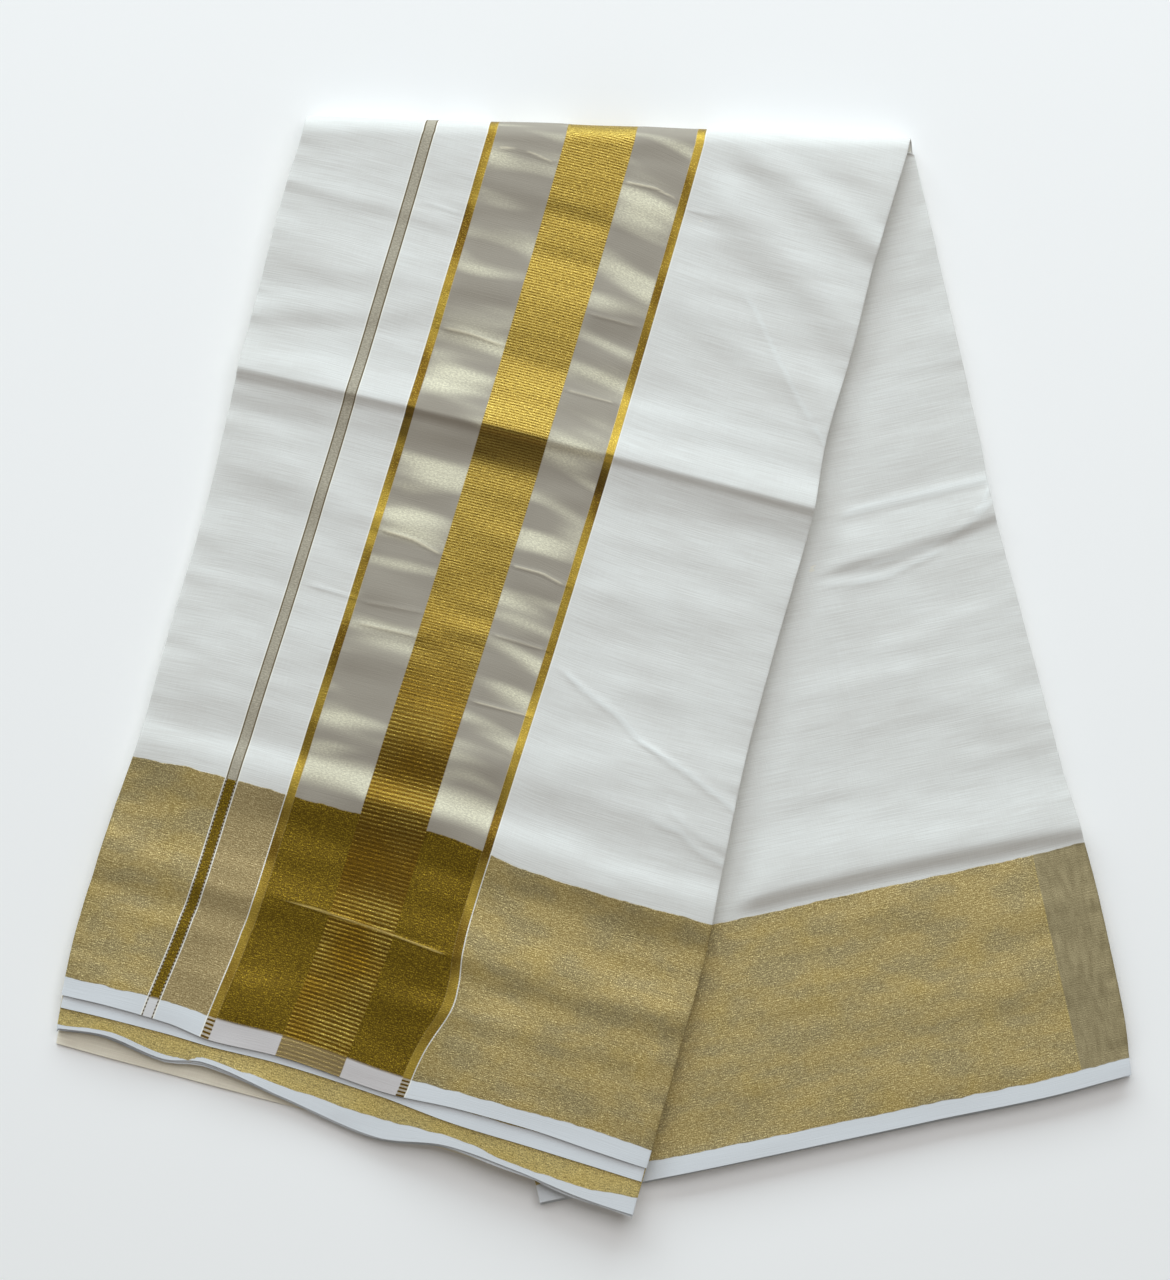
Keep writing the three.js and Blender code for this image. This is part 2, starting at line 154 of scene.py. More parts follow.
# Sharp creases: thin raised lines through points (across, along), with a height and a half-width.
CREASE_TAPER = 14.0  # a crease begins and ends over this length, or over an eighth of its own
OPEN_EDGE = 160.0  # one that reaches further across than this runs out over the folded edge
LEFT_CREASES = (
    dict(path=((-60, 28), (-40, 26), (-23, 29)), height=0.6, width=1.5),
    dict(path=((-64, 134.5), (-45, 134), (-24, 136)), height=0.6, width=1.5),
    dict(path=((14, 29), (34, 28), (50, 32)), height=0.65, width=1.5),
    dict(path=((14, 106), (46, 106)), height=0.4, width=1.5),
    dict(path=((12, 151), (45, 151)), height=0.5, width=1.5),
    dict(path=((-92, 68), (-67, 70)), height=0.35, width=1.6),
    dict(path=((55, 34.5), (71, 35)), height=0.4, width=1.6),
    dict(path=((-68, 253), (-46, 254), (-27, 259)), height=0.65, width=1.5),
    dict(path=((8, 254), (28, 254), (44, 258)), height=0.6, width=1.5),
    dict(path=((-67, 295), (-29, 292)), height=0.35, width=1.6),
    dict(path=((-66, 307), (-30, 306)), height=0.5, width=1.5),
    dict(path=((8, 294), (43, 295)), height=0.45, width=1.5),
    dict(path=((6, 333), (43, 333)), height=0.55, width=1.5),
    dict(path=((-98, 293), (-70, 294)), height=0.4, width=2.2),
    dict(path=((49, 301), (67, 311), (91, 321), (105, 331), (137, 342), (167, 355)), height=1.0, width=2.4),
    dict(path=((92, 69), (104, 78), (121, 99), (142, 123), (163, 144)), height=0.7, width=3.0),
    dict(path=((118, 371), (140, 374), (150, 381), (168, 386)), height=0.7, width=2.4),
    dict(path=((126, 358), (134, 366), (146, 372), (168, 378)), height=0.5, width=2.4),
    dict(path=((146, 414), (150, 450), (157, 500), (163, 546)), height=0.3, width=4.4),
    dict(path=((-83, 466), (-39, 468), (-4, 470), (38, 474)), height=0.5, width=1.5),
)
UNDER_CREASES = (
    dict(path=((-120, 96), (-40, 118), (30, 110)), height=0.3, width=5.0),
    dict(path=((-10, 214), (60, 206), (140, 222)), height=0.3, width=6.0),
    dict(path=((-150, 322), (-96, 306), (-60, 312)), height=0.25, width=4.0),
    dict(path=((-70, 398), (10, 411), (120, 402)), height=0.3, width=5.0),
    dict(path=((40, 296), (52, 340), (48, 372)), height=0.2, width=4.0),
)
RIGHT_CREASES = (
    dict(path=((63, 242), (114, 241), (168, 240)), height=0.9, width=4.5),
    dict(path=((145, 81), (164, 72)), height=1.0, width=7.0),
    dict(path=((83, 274), (124, 270), (150, 262), (168, 250)), height=0.8, width=2.6),
    dict(path=((49, 278), (94, 282), (136, 272)), height=0.7, width=2.2),
    dict(path=((63, 262), (66, 282), (61, 310), (62, 345), (66, 392)), height=0.35, width=2.4),
    dict(path=((152, 262), (168, 240)), height=0.8, width=2.4),
)

# ---- Fine unevenness of a top leaf: each ripple's height and its size across and along the leg ----
RIPPLES = (
    dict(height=0.8, across=64, along=20),
    dict(height=0.32, across=34, along=8),
)
PUCKERS = dict(height=0.32, short=5.5, long=12, long_share=0.6, reach=9.0)  # at the folded edges
TISSUE_RIPPLE = dict(height=1.0, across=60, along=13, outside=2, inside=5)  # in the pallu's tissue
STIFFER = 0.45  # the gold border ripples less than the cotton by this share
BORDER_BEGINS = (405.0, 440.0)
CONTACT = 0.16  # mm², rounds the corner where a leaf comes down on the layer under it

# How the folded edges of the stack wander in and out, and how ragged the hems of its layers are
WANDER = dict(length=13, first_row=40, sets_in=(9, 40))
RAGGED = dict(per_depth=40, per_share=4)
SEEDS = dict(left=11, tissue=31, right=51, wander=71, ragged=72)

# ---- The pallu's bands: where they lie across the cloth at the far fold, and how the cloth's own
# lines drift to the left of the leg on their way to the hem. The kink is the pinch in the border,
# which bends them to the right ----
BAND_DRIFT = dict(
    along=(0, 182, 300, 410, 467, 490, 551, 580),
    drift=(0, -4, -8.4, -13.5, -16, -18, -25, -28),
)
KINK = dict(along=499.0, reach=24.0, drift=7.0, across=(0.0, 50.0))
THIN_STRIPE = (-100.6, -94.0)
STRIPE_1 = (-65.3, -60.4)
GOLD_BAND = (-22.3, 15.8)
STRIPE_2 = (49.0, 53.8)
WHITE_LINE = 0.6  # beside the stripes
DARK_LINE = 0.8  # at both sides of the thin stripe


# ---- Small helpers ----
def smooth(value, low, high):
    t = np.clip((value - low) / (high - low), 0, 1)
    return t * t * (3 - 2 * t)


def mix(a, b, t):
    return a + (b - a) * t


def read(table, column, place, key="along"):
    """A table's column at places, by a Catmull-Rom curve through its rows."""
    keys = np.array(table[key], float)
    values = np.array(table[column], float)
    place = np.asarray(place, float)
    row = np.clip(np.searchsorted(keys, place) - 1, 0, len(keys) - 2)
    t = np.clip((place - keys[row]) / (keys[row + 1] - keys[row]), 0, 1)
    start, end = values[row], values[row + 1]
    inward = (end - values[np.maximum(row - 1, 0)]) / 2
    outward = (values[np.minimum(row + 2, len(values) - 1)] - start) / 2
    return (
        (2 * t**3 - 3 * t**2 + 1) * start
        + (t**3 - 2 * t**2 + t) * inward
        + (3 * t**2 - 2 * t**3) * end
        + (t**3 - t**2) * outward
    )


def soft_noise(u, v, seed):
    """Smooth noise from -1 to 1, on a lattice of whole numbers."""
    size = 256
    lattice = np.random.default_rng(seed).uniform(-1, 1, (size, size))
    u, v = np.broadcast_arrays(np.asarray(u, float), np.asarray(v, float))
    i, j = np.floor(u).astype(int), np.floor(v).astype(int)
    s, t = smooth(u - i, 0, 1), smooth(v - j, 0, 1)

    def at(di, dj):
        return lattice[(i + di) % size, (j + dj) % size]

    return mix(mix(at(0, 0), at(1, 0), s), mix(at(0, 1), at(1, 1), s), t)


# ---- Legs ----
class Leg:
    """One half of the doubled strip. lean is from straight down the picture, to the left."""

    def __init__(self, lean, sides, noise_sign):
        self.sides = sides
        self.noise_sign = noise_sign  # 1 or -1, so that the two legs' edges wander differently
        self.across = np.array([math.cos(lean), -math.sin(lean)])
        self.along = np.array([-math.sin(lean), -math.cos(lean)])
        self.fold_slant = -math.tan(lean - FOLD_SLOPE)
        self.fold_station = FOLD_RADIUS / math.cos(lean - FOLD_SLOPE)

    def plan(self, across, along):
        return across[..., None] * self.across + along[..., None] * self.along


LEFT = Leg(LEFT_LEAN, LEFT_SIDES, 1)
RIGHT = Leg(RIGHT_LEAN, RIGHT_SIDES, -1)
FOLD_OUTWARD = np.array([math.sin(FOLD_SLOPE), math.cos(FOLD_SLOPE)])


def drape(plan):
    """How far the left leg is held up by the right one."""
    clear = read(RIGHT_SIDES, "left", plan @ RIGHT.along) - plan @ RIGHT.across
    return LEFT_LIFT * (1 - smooth(clear, 0, DRAPE_WIDTH))


def place_on(leg, share, station, inset, hem=None, last=None):
    """Where points of a sheet lie across and along a leg. hem gives its hem's line, and last is the
    station that lies there."""
    nominal = share * (STRIP_WIDTH / 2 - inset)
    fade = np.clip(1 - (station - leg.fold_station) / FOLD_FADE, 0, None)
    along = station + leg.fold_slant * nominal * fade
    if hem is not None:
        along = along + (hem(nominal) - last) * smooth(station, last - HEM_FADE, last)
    left = read(leg.sides, "left", along) + inset
    right = read(leg.sides, "right", along) - inset
    return mix(left, right, (share + 1) / 2), along


# ---- Relief ----
def fold_relief(folds, across, along):
    height = np.zeros_like(across)
    for fold in folds:
        low, high = fold["span"]
        share = np.clip((across - low) / (high - low), 0, 1)
        start, middle, end = fold["at"]
        crest = mix(mix(start, middle, share), mix(middle, end, share), share)
        side = np.where(along < crest, fold["gentle"], fold["steep"])
        if low > -STRIP_WIDTH / 2:
            share = smooth(across, low, low + FOLD_TAPER)
        else:
            share = np.ones_like(across)
        if high < STRIP_WIDTH / 2:
            share = share * (1 - smooth(across, high - FOLD_TAPER, high))
        height += fold["height"] * share * (1 - smooth(np.abs(along - crest), 0, side))
    return height


def crease_relief(creases, across, along):
    height = np.zeros_like(across)
    for crease in creases:
        points = np.array(crease["path"], float)
        lengths = np.hypot(*np.diff(points, axis=0).T)
        starts = np.concatenate([[0], np.cumsum(lengths)])
        nearest = np.full(across.shape, np.inf)
        where = np.zeros_like(across)
        for start, length, a, b in zip(starts, lengths, points[:-1], points[1:]):
            step = (b - a) / length
            t = np.clip((across - a[0]) * step[0] + (along - a[1]) * step[1], 0, length)
            away = np.hypot(across - a[0] - t * step[0], along - a[1] - t * step[1])
            where = np.where(away < nearest, start + t, where)
            nearest = np.minimum(away, nearest)
        taper = min(CREASE_TAPER, starts[-1] / 8)
        ends = smooth(where, 0, taper)
        if abs(points[-1][0]) < OPEN_EDGE:
            ends = ends * (1 - smooth(where, starts[-1] - taper, starts[-1]))
        height += crease["height"] * ends * (1 - smooth(nearest, 0, crease["width"]))
    return height


def settle(height):
    """Height kept above the layer underneath, without a corner where it touches."""
    return (height + np.sqrt(height**2 + CONTACT)) / 2


def ripples(across, along, edge, seed):
    """Fine unevenness of the cloth, and the puckers along its folded edges."""
    supple = 1 - STIFFER * smooth(along, *BORDER_BEGINS)
    height = LOFT
    for number, ripple in enumerate(RIPPLES):
        noise = soft_noise(across / ripple["across"], along / ripple["along"], seed + number)
        height = height + ripple["height"] * supple * noise
    pucker = soft_noise(0, along / PUCKERS["short"], seed + 2)
    pucker = pucker + PUCKERS["long_share"] * soft_noise(0, along / PUCKERS["long"], seed + 3)
    return height + PUCKERS["height"] * pucker * np.exp(-np.clip(edge, 0, None) / PUCKERS["reach"])


def band_lines(across, along):
    """The cloth's own coordinate across the bands."""
    drift = read(BAND_DRIFT, "drift", along)
    kink = KINK["drift"] * np.exp(-(((along - KINK["along"]) / KINK["reach"]) ** 2))
    return across - drift - kink * smooth(across, *KINK["across"])


def left_relief(across, along, edge):
    height = fold_relief(LEFT_FOLDS, across, along)
    line = band_lines(across, along)
    outside, inside = TISSUE_RIPPLE["outside"], TISSUE_RIPPLE["inside"]
    noise = soft_noise(line / TISSUE_RIPPLE["across"], along / TISSUE_RIPPLE["along"], SEEDS["tissue"])
    for low, high in ((STRIPE_1[1], GOLD_BAND[0]), (GOLD_BAND[1], STRIPE_2[0])):
        tissue = smooth(line, low - outside, low + inside) * (1 - smooth(line, high - inside, high + outside))
        height += TISSUE_RIPPLE["height"] * tissue * noise
    return settle(height + ripples(across, along, edge, SEEDS["left"]))


def right_relief(across, along, edge):
    height = fold_relief(RIGHT_FOLDS, across, along) + ripples(across, along, edge, SEEDS["right"])
    return settle(height) * uncovered(RIGHT.plan(across, along))


def uncovered(plan):
    """How far the right leg is clear of the left one that lies on it, from 0 to 1."""
    return smooth(plan @ LEFT.across, *UNCOVERED)


def sag(top, edge):
    """How much lower a layer lies inside its edges. top is its height in the leg, from 0 to 1."""
    return SAG * np.clip((SAG_BELOW - top) / SAG_OVER, 0, 1) * smooth(edge, *SAG_INSIDE)


def hem_rise(across, along):
    return read(LEFT_HEMS, "rise", across, key="across") * smooth(along, *RISE_AT)


# ---- Sections across a leg. Each column has its share, how far it lies inside the edge, its depth
# from the middle of the stack outwards, and the number of the fold that it belongs to ----
def pair_depths(pair):
    """Depths of the two layers of a pair."""
    return [GAP / 2 + PITCH * (pair + end) + (CLOTH / 2 + SLACK) * (1 - 2 * end) for end in (0, 1)]


def hairpin(side, start, end, number, steps=6):
    """Columns round a folded edge, from one depth to another."""
    radius = abs(end - start) / 2
    return [
        (side, radius * (1 - math.sin(angle)), mix(start, end, (1 - math.cos(angle)) / 2), number)
        for angle in np.linspace(0, math.pi, steps + 1)
    ]


# Columns under a face, as shares of the half-width: few where they are hidden, and close together
# where a hem shows them
HIDDEN_SHARES = [0.02 + step * 0.08 for step in range(12)]
CLOSE_SHARES = [0.02 + step * 0.04 for step in range(24)]
EDGE_INSIDES = (7.0, 3.5, 1.6)  # near a folded edge, columns are these distances inside it instead
FINE_PITCH = 4  # a face with columns closer than this leaves out those that EDGE_INSIDES stands for


def leaf_columns(face, back, pitch, number=0, under_shares=HIDDEN_SHARES):
    """A leaf: its face right across, and its back under it, joined by a fold at each edge. face and
    back are depths."""
    under = [(-share, 0, back, number) for share in under_shares]
    under += [(-1, inside, back, number) for inside in EDGE_INSIDES]
    left = under + hairpin(-1, back, face, number)
    left += [(-1, inside, face, number) for inside in reversed(EDGE_INSIDES)]
    count = int(STRIP_WIDTH / 2 / pitch)
    first = 4 if pitch < FINE_PITCH else 1
    left += [(-1 + step / count, 0, face, number) for step in range(first, count)]
    right = [(-share, inside, depth, number) for share, inside, depth, number in reversed(left)]
    return np.array(left + [(0, 0, face, number)] + right)


def zigzag_columns(first, last, shares=(0.85, 0.5, 0.15)):
    """The layers of several pairs: one sheet, folded to and fro, its columns at these shares."""
    depths = GAP / 2 + PITCH * (first + np.arange(0.25, last - first + 1, 0.5))
    shares = [*shares, *(-share for share in reversed(shares))]
    columns = []
    for number, depth in enumerate(depths):
        side = -1 if number % 2 == 0 else 1
        layer = [(side, inside, depth, number) for inside in reversed(EDGE_INSIDES)]
        layer += [(side * share, 0, depth, number) for share in shares]
        layer += [(-side, inside, depth, number + 1) for inside in EDGE_INSIDES]
        columns += layer
        if number < len(depths) - 1:
            columns += hairpin(-side, depth, depths[number + 1], number + 1, 4)
    return np.array(columns) + np.array([0, 0, 0, first * 2])


# ---- Rows along a leg ----
def stations(first, last, pitch, near=(), fine=2.0, reach=16.0):
    """Stations from first to last, closer together near the given ones."""
    places = [first]
    while places[-1] < last:
        away = min([abs(places[-1] - place) for place in near], default=math.inf)
        places.append(places[-1] + (fine if away < reach else pitch))
    places = np.array(places)
    return first + (places - first) * (last - first) / (places[-1] - first)


# ---- Sheets ----
def cloth_from_hem(along, hem, selvedge, border):
    """How far points lie from the cloth's woven edge, so that its border falls where it should."""
    from_hem = hem - along
    low = np.minimum(from_hem / selvedge, 1) * SELVEDGE
    middle = np.clip((from_hem - selvedge) / (border - selvedge), 0, 1) * (BORDER_TOP - SELVEDGE)
    return low + middle + np.clip(from_hem - border, 0, None)


def edge_distance(leg, across, along):
    return np.minimum(across - read(leg.sides, "left", along), read(leg.sides, "right", along) - across)


def droop(edge):
    return DROOP * np.clip(1 - edge / DROOP_REACH, 0, 1) ** 2


def loose_edges(leg, number, places):
    """How far each fold of the stack wanders in and out along a leg, from -1 to 1."""
    along = places[:, None]
    noise = soft_noise(
        number[None, :] + WANDER["first_row"],
        along / WANDER["length"] * leg.noise_sign,
        SEEDS["wander"],
    )
    return noise * smooth(along, *WANDER["sets_in"])


def leg_rows(leg, columns, places, hem, inset, wander, ragged, relief, woven, to_hem=True):
    """Points of a sheet on one leg, a row for each station, and where they are on the cloth."""
    share, inside, depth, number = columns.T
    at_edge = np.abs(share) == 1
    inset = inside[None, :] + at_edge * np.clip(inset + wander * loose_edges(leg, number, places), 0, None)
    layers = soft_noise(depth * RAGGED["per_depth"], share * RAGGED["per_share"], SEEDS["ragged"])
    uneven = ragged * (layers - 1) / 2

    def line(nominal):
        return read(hem[0], hem[1], nominal, key="across") + uneven

    ends = (line, places[-1]) if to_hem else (None, None)
    across, along = place_on(leg, share[None, :], places[:, None], inset, *ends)
    edge = edge_distance(leg, across, along)
    out = (depth[None, :] - GAP / 2) / LEG_THICKNESS
    plan = leg.plan(across, along)
    if leg is LEFT:
        z = drape(plan) + FOLD_RADIUS - LEFT_LIFT + depth
        z = z + hem_rise(across, along) * np.clip(out * RISE_FOLLOW, 0, 1)
        top = out
        creases = crease_relief(LEFT_CREASES, across, along)
    else:
        z = FOLD_RADIUS - depth + crease_relief(UNDER_CREASES, across, along) * (out > UNDERSIDE)
        top = 1 - out
        creases = crease_relief(RIGHT_CREASES, across, along) * uncovered(plan)
    loft = relief(across, along, edge) - droop(edge) - sag(top, edge)  # above the flat pack
    z = z + top**FOLLOW * loft + creases * (top > TOP_FACE)
    selvedge, border = (read(hem[0], column, across, key="across") for column in woven)
    u = band_lines(across, along) if leg is LEFT else across
    v = cloth_from_hem(along, line(across), selvedge, border)
    return np.dstack([plan, z]), np.dstack([u, v, np.clip(creases, 0, 1)])


def turn_rows(columns, steps, inset, right_v, left_v):
    """Points of a sheet round the far fold, from the right leg's side to the left leg's. right_v and
    left_v are how far its two ends lie from the woven edge."""
    share, inside, depth, _ = columns.T
    inset = inside + (np.abs(share) == 1) * inset
    right = RIGHT.plan(*place_on(RIGHT, share, RIGHT.fold_station, inset))
    across, along = place_on(LEFT, share, LEFT.fold_station, inset)
    left = LEFT.plan(across, along)
    angle = np.linspace(math.pi, 0, steps + 1)[1:-1, None]
    edge = edge_distance(LEFT, across, along)
    round_fold = along - depth * angle
    relief = left_relief(across + 0 * round_fold, round_fold, edge)
    top = (depth - GAP / 2) / LEG_THICKNESS
    loft = (relief - droop(edge) - sag(top, edge)) * top**FOLLOW
    radius = depth + loft * (1 - angle / math.pi)  # fades out towards the right leg
    plan = mix(left[None], right[None], (angle / math.pi)[..., None])
    plan = plan + (radius * np.sin(angle))[..., None] * FOLD_OUTWARD
    v = mix(left_v + depth * angle, right_v + depth * (math.pi - angle), smooth(angle, 0, math.pi))
    cloth = np.dstack([np.broadcast_to(across, v.shape), v, v * 0])
    return np.dstack([plan, FOLD_RADIUS + radius * np.cos(angle)]), cloth


def frame_shift():
    """Where the middle of the fold's far side lies in the frame."""
    place = np.linspace(300, 590, 300)  # the right leg reaches furthest to the right somewhere here
    right = RIGHT.plan(read(RIGHT_SIDES, "right", place), place)
    hem = read(RIGHT_HEMS, "base", place * 0 + STRIP_WIDTH / 2, key="across")
    reach = right[place < hem][:, 0].max()
    corner = LEFT.plan(*place_on(LEFT, np.array(-1.0), LEFT.fold_station, 0.0))
    other = RIGHT.plan(*place_on(RIGHT, np.array(-1.0), RIGHT.fold_station, 0.0))
    far = (mix(corner, other, 0.5) + FOLD_RADIUS * FOLD_OUTWARD)[1]
    return np.array([cad_box[1][0] / MM - reach, cad_box[1][1] / MM - far, 0.0])


SHIFT = frame_shift()


def tangent(points, axis):
    """The direction of a grid's lines at each point, from the steps before and after it."""
    step = np.diff(points, axis=axis)
    step /= np.maximum(np.linalg.norm(step, axis=2, keepdims=True), 1e-9)
    first, last = np.take(step, [0], axis), np.take(step, [-1], axis)
    return np.concatenate([first, step], axis) + np.concatenate([step, last], axis)


SHARP_ANGLE = math.radians(60)


def wall(name, points, cloth):
    """A closed wall of cloth round a grid of points. cloth gives each point's place on the cloth."""
    rows, cols = points.shape[:2]
    normal = np.cross(tangent(points, 0), tangent(points, 1))
    normal /= np.maximum(np.linalg.norm(normal, axis=2, keepdims=True), 1e-9)
    verts = np.concatenate([(points + normal * side * CLOTH / 2).reshape(-1, 3) for side in (1, -1)])
    at = np.arange(rows * cols).reshape(rows, cols)
    a, b, c, d = at[:-1, :-1], at[1:, :-1], at[1:, 1:], at[:-1, 1:]
    top = np.stack([a, b, c, d], axis=-1).reshape(-1, 4)
    bottom = np.stack([a, d, c, b], axis=-1).reshape(-1, 4) + rows * cols
    rim = np.concatenate([at[:, 0], at[-1, 1:], at[-2::-1, -1], at[0, -2:0:-1]])
    after = np.roll(rim, -1)
    side = np.stack([rim, rim + rows * cols, after + rows * cols, after], axis=-1)
    faces = np.concatenate([top, bottom, side])
    mesh = bpy.data.meshes.new(name)
    mesh.vertices.add(len(verts))
    mesh.vertices.foreach_set("co", ((verts + SHIFT) * MM).ravel())
    mesh.loops.add(faces.size)
    mesh.loops.foreach_set("vertex_index", faces.ravel())
    mesh.polygons.add(len(faces))
    mesh.polygons.foreach_set("loop_start", np.arange(0, faces.size, 4))
    mesh.update(calc_edges=True)
    mesh.shade_smooth()
    mesh.set_sharp_from_angle(angle=SHARP_ANGLE)
    values = cloth.reshape(-1, 3)
    attribute = mesh.attributes.new("cloth", "FLOAT_VECTOR", "POINT")
    attribute.data.foreach_set("vector", np.concatenate([values, values]).astype(np.float32).ravel())
    piece = bpy.data.objects.new(name, mesh)
    bpy.context.scene.collection.objects.link(piece)
    return piece


def lay(name, columns, left=None, right=None, turn_steps=0, inset=0.0, wander=0.25, ragged=0.0):
    """A sheet up the right leg, round the far fold and down the left one. left and right each give
    stations and the hem's column. left may also give its selvedge's column, and to_hem=False if the
    sheet ends before the hem."""
    blocks = []
    right_v = left_v = HALF_WIDTH
    if right:
        points, cloth = leg_rows(
            RIGHT, columns, right["stations"], (RIGHT_HEMS, right["hem"]), inset, wander, ragged,
            right_relief, ("body_selvedge", "body_border"),
        )
        right_v = cloth[0, :, 1]
        blocks.append((points[::-1], cloth[::-1]))
    if left:
        points, cloth = leg_rows(
            LEFT, columns, left["stations"], (LEFT_HEMS, left["hem"]), inset, wander, ragged,
            left_relief, (left.get("selvedge", "pallu_selvedge"), "pallu_border"), left.get("to_hem", True),
        )
        left_v = cloth[0, :, 1]
        blocks.append((points, cloth))
    if turn_steps:
        blocks.insert(1 if right else 0, turn_rows(columns, turn_steps, inset, right_v, left_v))
    points, cloth = (np.concatenate(part) for part in zip(*blocks))
    return wall(name, points, cloth)


def join(name, parts):
    """One piece from several walls."""
    bpy.ops.object.select_all(action="DESELECT")
    for part in parts:
        part.select_set(True)
    bpy.context.view_layer.objects.active = parts[0]
    bpy.ops.object.join()
    parts[0].name = name
    return parts[0]


# ---- Materials ----
# Colours in 0 to 255 display values. A thread's two are the ends of its unevenness.
THREADS = dict(
    cotton=((215, 213, 208), (228, 228, 224)),
    border=((182, 160, 104), (164, 148, 106)),
    border_deep=((146, 124, 72), (132, 116, 76)),
    border_faded=((130, 117, 84), (176, 162, 124)),
    # a painted highlight along sharp creases, on the cotton and on the gold
    crease=((236, 239, 237), (255, 226, 140)),
    # the tissue's light end is a painted highlight
    tissue=((162, 154, 141), (240, 235, 208)),
    olive=((84, 62, 0), (116, 92, 6)),
    band_high=((84, 58, 2), (140, 108, 24)),
    band_low=((78, 52, 0), (112, 82, 8)),
    band_rib=((208, 164, 42), (246, 218, 108)),
    band_end=((152, 132, 92), (232, 204, 120)),
    stripe=((104, 76, 10), (226, 194, 84)),
    stripe_end=((206, 196, 178), (112, 84, 20)),
    between=((142, 122, 80), (172, 152, 108)),
    thin=((158, 150, 134), (190, 182, 162)),
    thin_ladder=((176, 168, 150), (78, 60, 34)),
)
COLOURS = dict(
    selvedge=(216, 219, 222),
    border_rich=(184, 158, 86),
    border_fleck=(250, 232, 168),
    border_lighter=(240, 214, 122),
    border_seam=(236, 212, 120),
    olive_fleck=(198, 166, 50),
    band_fleck=(252, 226, 124),
    # painted shade for the belt just below the pallu's main crease, on the gold band and stripes
    band_painted_crest_shade=(86, 62, 16),
    stripe_painted_crest_shade=(76, 54, 18),
    between_fleck=(228, 210, 160),
    tissue_end=(208, 203, 202),
    thin_end=(214, 212, 212),
    thin_line=(112, 98, 72),
    white_line=(240, 238, 230),
)
RIB_PITCH, THREAD_PITCH, LADDER_PITCH = 2.3, 1.5, 2.2
WEAVE_DEPTH = 0.00012  # metres, of the bump
SHEEN = {"Sheen Weight": 0.06, "Sheen Roughness": 0.5, "Specular IOR Level": 0.3}

# Where along the pallu, from the woven edge, each of these is: its ends and how softly it begins
PALLU_PLACES = dict(
    # a painted highlight across the tissue, where a fold's slope faces the light
    painted_highlight_belt=dict(low=150, high=165, soft=5),
    # painted shade in two belts, where folds slope away from the light
    painted_shade=dict(low=98, high=138, soft=6),
    painted_shade_beyond=dict(low=167, high=185, soft=6),
    # painted shade just below the main crease
    painted_crest_shade=dict(low=348, high=367, soft=4),
)
RIBS_FADE = (160, 310)  # the gold band's ribs give way to plain thread between these
RIBS_SHINE = (82, 100)  # and are brightest below these


def srgb(red, green, blue):
    """A colour given in 0 to 255 display values."""
    return [((value / 255 + 0.055) / 1.055) ** 2.4 for value in (red, green, blue)] + [1.0]


class Number:
    """A value that varies over the cloth, and can be reckoned with."""

    def __init__(self, tree, socket):
        self.tree, self.socket = tree, socket

    def link(self, value, slot):
        if isinstance(value, Number):
            self.tree.links.new(value.socket, slot)
        else:
            slot.default_value = value

    def to(self, operation, *others):
        node = self.tree.nodes.new("ShaderNodeMath")
        node.operation = operation
        for value, slot in zip((self, *others), node.inputs):
            self.link(value, slot)
        return Number(self.tree, node.outputs[0])

    def __add__(self, other):
        return self.to("ADD", other)

    def __sub__(self, other):
        return self.to("SUBTRACT", other)

    def __mul__(self, other):
        return self.to("MULTIPLY", other)

    def __neg__(self):
        return self.to("MULTIPLY", -1.0)

    def __invert__(self):
        """One less the value."""
        return -self + 1.0

    def most(self, other):
        return self.to("MAXIMUM", other)

    def ramp(self, low, high, to_low=0.0, to_high=1.0):
        node = self.tree.nodes.new("ShaderNodeMapRange")
        node.interpolation_type = "SMOOTHSTEP"
        values = (self, low, high, to_low, to_high)
        for value, slot in zip(values, ("Value", "From Min", "From Max", "To Min", "To Max")):
            self.link(value, node.inputs[slot])
        return Number(self.tree, node.outputs[0])

    def beyond(self, place, soft=0.4):
        return self.ramp(place - soft, place + soft)

    def within(self, low, high, soft=0.35):
        return self.beyond(low, soft) * ~self.beyond(high, soft)

    def waves(self, pitch, low, high=1.0):
        """Threads or ribs across this coordinate."""
        return self.to("MULTIPLY", math.tau / pitch).to("SINE").ramp(low, high)

    def colour(self, low, high):
        """A colour between two, by this value."""
        node = self.tree.nodes.new("ShaderNodeMix")
        node.data_type = "RGBA"
        self.link(self, node.inputs["Factor"])
        colours = [slot for slot in node.inputs if slot.type == "RGBA"]
        for value, slot in zip((low, high), colours):
            self.link(value if isinstance(value, (Number, list)) else srgb(*COLOURS[value]), slot)
        result = next(slot for slot in node.outputs if slot.type == "RGBA")
        return Number(self.tree, result)

    def thread(self, name):
        """A thread's colour, by this value."""
        low, high = THREADS[name]
        return self.colour(srgb(*low), srgb(*high))


